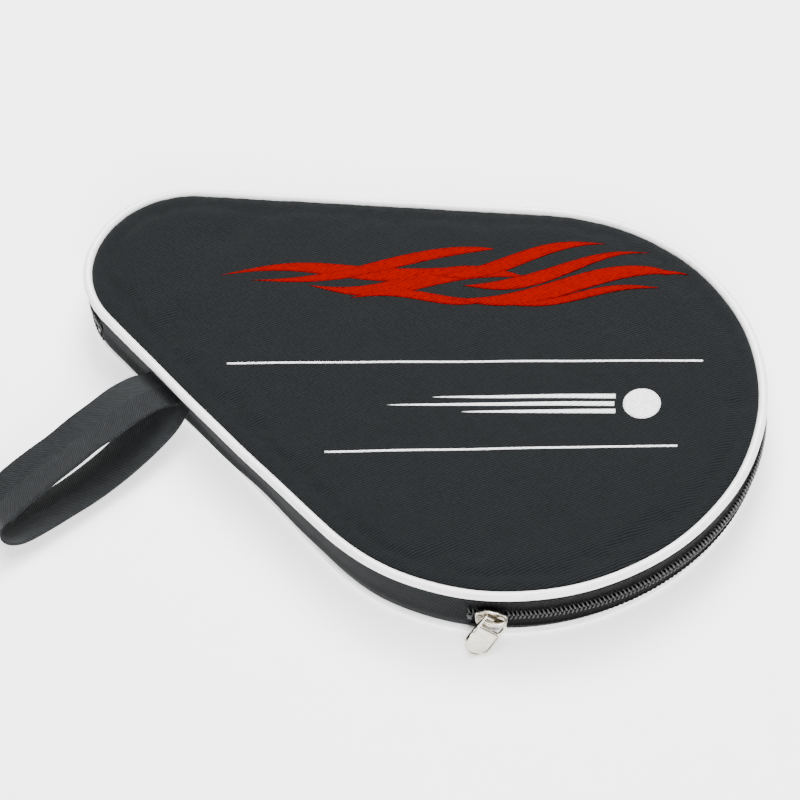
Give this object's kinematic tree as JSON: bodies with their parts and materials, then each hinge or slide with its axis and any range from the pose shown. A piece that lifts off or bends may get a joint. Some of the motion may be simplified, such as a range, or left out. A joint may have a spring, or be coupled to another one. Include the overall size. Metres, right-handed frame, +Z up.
{
  "type": "table tennis paddle case",
  "caption": "Padded cloth case shaped to a table tennis paddle, with a zip round three sides, white piping, a hinged front panel, a zip pull and a webbing strap.",
  "frame": {"origin": "on the surface the case lies on, under the centre of the round head end", "axes": "+X from the handle end to the head end, +Y to the side with the zip, +Z up out of the front panel"},
  "size_m": [0.3, 0.2389, 0.027],
  "materials": {
    "outer_cloth": "near-black fine twill",
    "lining_cloth": "plain black lining",
    "foam": "closed-cell foam sheet",
    "piping_white": "glossy white vinyl sleeve",
    "piping_cord": "soft white filler cord",
    "zip_tape": "woven black polyester tape",
    "zip_coil": "black nylon monofilament",
    "binding_tape": "black grosgrain binding",
    "webbing": "black herringbone webbing",
    "zip_metal": "bright nickel plate",
    "thread": "black polyester sewing thread",
    "print_red": "screen-printed red ink",
    "print_white": "screen-printed white ink"
  },
  "bodies": {
    "base": {"back_cloth": "outer_cloth", "back_foam": "foam", "back_lining": "lining_cloth", "back_piping": "piping_white", "back_piping_core": "piping_cord", "back_zip_tape": "zip_tape", "back_coil": "zip_coil", "back_binding": "binding_tape", "gusset": "outer_cloth", "gusset_lining": "lining_cloth", "head_end_stop": "zip_coil", "handle_end_stop": "zip_coil", "strap_anchor": "webbing"},
    "lid": {"front_cloth": "outer_cloth", "front_foam": "foam", "front_lining": "lining_cloth", "front_piping": "piping_white", "front_piping_core": "piping_cord", "front_zip_tape": "zip_tape", "front_coil": "zip_coil", "front_binding": "binding_tape"},
    "slider": {"slider_body": "zip_metal", "slider_crown": "zip_metal"},
    "pull": {"pull_tab": "zip_metal"},
    "strap": {"strap_loop": "webbing"}
  },
  "joints": [
    {"name": "lid_open", "type": "hinge", "parent": "base", "child": "lid", "pos_m": [-0.10122, -0.06615, 0.0229], "axis": [0.9307, -0.3659, 0], "range_deg": [0, 120]},
    {"name": "slider_travel", "type": "hinge", "parent": "base", "child": "slider", "pos_m": [0, 0, 0.014], "axis": [0, 0, 1], "range_deg": [0, 176]},
    {"name": "pull_swing", "type": "hinge", "parent": "slider", "child": "pull", "pos_m": [0.04091, -0.09355, 0.014], "axis": [-0.7106, -0.2944, 0.639], "range_deg": [0, 135]},
    {"name": "strap_swing", "type": "hinge", "parent": "base", "child": "strap", "pos_m": [-0.13394, -0.05372, 0.0165], "axis": [-0.9307, 0.3659, 0], "range_deg": [-60, 20]}
  ]
}
